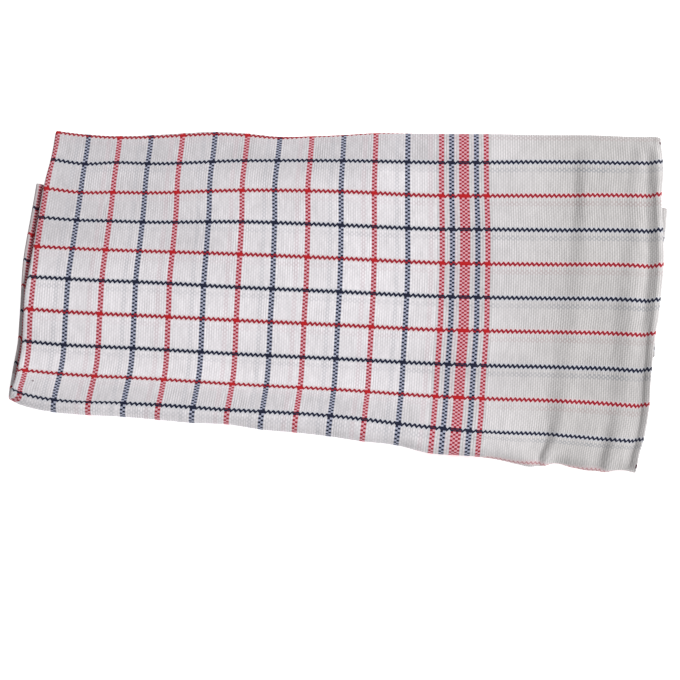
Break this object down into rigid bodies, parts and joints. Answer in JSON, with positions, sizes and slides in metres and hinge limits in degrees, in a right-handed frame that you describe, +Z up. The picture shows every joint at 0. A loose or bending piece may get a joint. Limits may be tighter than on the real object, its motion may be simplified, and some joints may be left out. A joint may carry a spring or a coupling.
{
  "type": "tea towel",
  "caption": "Checked cotton tea towel, folded in half and then letter-folded into a flat oblong bundle, with a woven border towards its hemmed end.",
  "frame": {"origin": "centre of the folded towel's box in X and Y, at the surface it lies on", "axes": "+X along the folded towel's length from the half fold to the hems, +Y from the near fold to the far fold, +Z up"},
  "size_m": [0.3556, 0.1972, 0.0103],
  "materials": {
    "cotton": "matt plain-weave cotton, white with thin red and navy checks and a striped border"
  },
  "bodies": {
    "root": {"towel": "cotton"}
  },
  "joints": []
}
